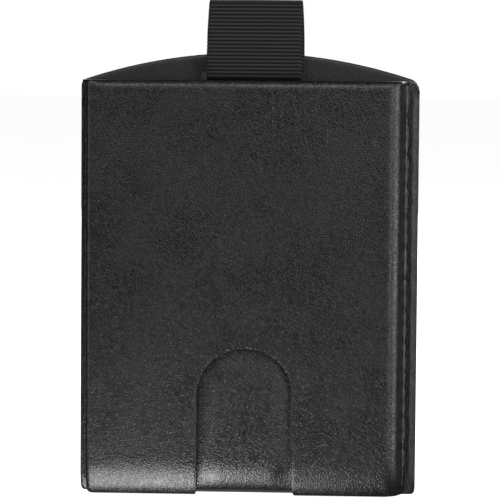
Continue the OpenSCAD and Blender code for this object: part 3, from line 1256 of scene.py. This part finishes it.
# the fixed run down, the turn, and the pull run up
fixedLegs = [(ribbon["anchorTop"] - ribbon["runBottom"], 0)]
ribbonFixedRun = buildRibbon(
    "ribbonFixedRun",
    "strap_fixed_run",
    (ribbon["fixedY"], ribbon["anchorTop"], -quarter),
    fixedLegs,
    0.0,
    plain,
    None,
)
heel, toe = ribbon["heelRadius"], ribbon["toeRadius"]
bightLegs = [
    (ribbon["runBottom"] - ribbon["turnZ"] - heel, 0),
    (heel * quarter, -quarter),
    (ribbon["fixedY"] - ribbon["pullY"] - heel - toe, 0),
    (toe * quarter, -quarter),
    (ribbon["runBottom"] - ribbon["turnZ"] - toe, 0),
]
bightPhase = fixedLegs[0][0]
buildRibbon(
    "ribbonBight",
    "strap_bight",
    (ribbon["fixedY"], ribbon["runBottom"], -quarter),
    bightLegs,
    bightPhase,
    plain,
    "lifting_turn",
)
pullPhase = bightPhase + flatLength(bightLegs)
pullLegs = [(ribbon["tackZ"] - ribbon["runBottom"], 0)]
ribbonPullRun = buildRibbon(
    "ribbonPullRun",
    "strap_pull_run",
    (ribbon["pullY"], ribbon["runBottom"], quarter),
    pullLegs,
    pullPhase,
    plain,
    None,
)
loop = {
    "openZ": 88.55,
    "frontY": -3.1,
    "backY": -0.15,
    "topZ": 103.8,
    "bendRadius": 0.5,
    "frontAngle": 78,  # degrees
    "backAngle": 45,
}


# a double bend that steps the band sideways: bend, straight, bend back. Also the height it takes
def openingLegs(shift, angle, radius):
    a = math.radians(angle)
    straight = (abs(shift) - 2 * radius * (1 - math.cos(a))) / math.sin(a)
    side = math.copysign(1, shift)
    rise = 2 * radius * math.sin(a) + straight * math.cos(a)
    return [(radius * a, side * a), (straight, 0), (radius * a, -side * a)], rise


frontStep, frontRise = openingLegs(ribbon["pullY"] - loop["frontY"], loop["frontAngle"], loop["bendRadius"])
backPly = ribbon["pullY"] + 0.5  # the two plies lie on each other below the opening
backStep, backRise = openingLegs(loop["backY"] - backPly, loop["backAngle"], loop["bendRadius"])
capRadius = (loop["backY"] - loop["frontY"]) / 2
loopLegs = (
    [(loop["openZ"] - ribbon["tackZ"], 0)]
    + frontStep
    + [(loop["topZ"] - loop["openZ"] - frontRise, 0)]
    + [(capRadius * math.pi, -math.pi)]
    + [(loop["topZ"] - loop["openZ"] - backRise, 0)]
    + backStep[::-1]
    + [(loop["openZ"] - ribbon["tackZ"], 0)]
)


# the back ply lies a little further right than the front one
def loopShift(s, total):
    return mix(-0.22, 0.38, ease((s / total - 0.35) / 0.3))


def loopTaper(s, total):
    return 0.28 * bell(s / total - 0.5, 0.2)


buildRibbon(
    "ribbonLoop",
    "pull_loop",
    (ribbon["pullY"], ribbon["tackZ"], quarter),
    loopLegs,
    pullPhase + pullLegs[0][0],
    {"perRib": 8, "across": 26, "taper": loopTaper, "shift": loopShift, "sway": 0.12},
    "pull_tab",
)
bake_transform(ribbonFixedRun)
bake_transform(ribbonPullRun)
print("ribbon ready")

# hidden boards keep their own shape
for name in ("front_board", "sleeve_board", "back_board"):
    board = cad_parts[name]
    board.data.materials.clear()
    board.data.materials.append(boardCard)


# floor, light and camera
floorLook = {"grey": 0.8, "roughness": 0.9, "glow": 0.95, "below": 0.0004}


def makeFloor():
    bm = bmesh.new()
    bmesh.ops.create_grid(bm, x_segments=1, y_segments=1, size=30)
    mesh = bpy.data.meshes.new("floor")
    bm.to_mesh(mesh)
    bm.free()
    floor = bpy.data.objects.new("floor", mesh)
    scene.collection.objects.link(floor)
    floor.location.z = -floorLook["below"]
    material = bpy.data.materials.new("paleFloor")
    material.use_nodes = True
    shader = material.node_tree.nodes["Principled BSDF"]
    shader.inputs["Base Color"].default_value = (floorLook["grey"], floorLook["grey"], floorLook["grey"], 1)
    shader.inputs["Roughness"].default_value = floorLook["roughness"]
    shader.inputs["Emission Color"].default_value = (1, 1, 1, 1)
    shader.inputs["Emission Strength"].default_value = floorLook["glow"]
    mesh.materials.append(material)
    floor.visible_glossy = False
    floor.visible_diffuse = False
    floor.visible_shadow = False


# white where the camera looks, nearly dark to everything else
def makeWorld():
    world = bpy.data.worlds.new("studio")
    scene.world = world
    world.use_nodes = True
    tree = world.node_tree
    link = tree.links.new
    tree.nodes.clear()
    path = node(tree, "ShaderNodeLightPath")
    seen = node(tree, "ShaderNodeBackground", {"Color": (1, 1, 1, 1), "Strength": 1.0})
    around = node(tree, "ShaderNodeBackground", {"Color": (0.95, 0.97, 1, 1), "Strength": 0.03})
    choose = node(tree, "ShaderNodeMixShader")
    output = node(tree, "ShaderNodeOutputWorld")
    link(path.outputs["Is Camera Ray"], choose.inputs[0])
    link(around.outputs[0], choose.inputs[1])
    link(seen.outputs[0], choose.inputs[2])
    link(choose.outputs[0], output.inputs["Surface"])


# a soft box at place, turned to target; all in metres
def makeLight(name, place, target, size, watts, colour=(1, 1, 1)):
    data = bpy.data.lights.new(name, "AREA")
    data.shape = "RECTANGLE"
    data.size, data.size_y = size
    data.energy = watts
    data.color = colour
    light = bpy.data.objects.new(name, data)
    scene.collection.objects.link(light)
    light.location = place
    light.rotation_euler = (Vector(target) - Vector(place)).to_track_quat("-Z", "Y").to_euler()
    light.visible_camera = False


makeFloor()
makeWorld()
middle = (0, 0, 0.047)
warm, cool = (1.0, 0.985, 0.96), (0.98, 0.99, 1.0)
makeLight("foldGlow", (-0.034, -0.058, -0.066), (-0.014, 0, 0.004), (0.056, 0.07), 0.16, cool)
makeLight("frontHigh", (0, -0.6, 0.85), (0, 0, 0.06), (0.8, 0.15), 3.2)
makeLight("frontRight", (0.55, -0.95, 0.12), middle, (0.3, 0.6), 2.8, warm)
makeLight("front", (0, -1.0, 0.6), middle, (0.8, 0.3), 2.4)
makeLight("leftFill", (-0.8, -0.6, 0.1), middle, (0.5, 0.6), 2.0)
makeLight("rightSide", (0.9, -0.25, 0.1), middle, (0.4, 0.6), 4.4, warm)
makeLight("rightBehind", (0.42, 0.95, 0.1), middle, (0.3, 0.5), 2.2)
makeLight("behind", (0.1, 1.1, 0.35), middle, (0.9, 0.6), 9)

camera = {
    "azimuth": 2.4,  # degrees
    "elevation": 3.9,
    "roll": 0.45,
    "distance": 0.5,  # metres
    "aim": (0.0003, 0, 0.0525),
    "lens": 169.0,
}


def makeCamera():
    data = bpy.data.cameras.new("camera")
    data.lens = camera["lens"]
    data.sensor_width = 36
    data.clip_start, data.clip_end = 0.01, 60
    obj = bpy.data.objects.new("camera", data)
    scene.collection.objects.link(obj)
    a, e = math.radians(camera["azimuth"]), math.radians(camera["elevation"])
    back = Vector((math.sin(a) * math.cos(e), -math.cos(a) * math.cos(e), math.sin(e)))
    obj.location = Vector(camera["aim"]) + back * camera["distance"]
    level = (-back).to_track_quat("-Z", "Y").to_matrix()
    obj.rotation_euler = (level @ Matrix.Rotation(math.radians(camera["roll"]), 3, "Z")).to_euler()
    scene.camera = obj


makeCamera()
scene.view_settings.view_transform = "Standard"
scene.view_settings.look = "None"
print("stage ready")
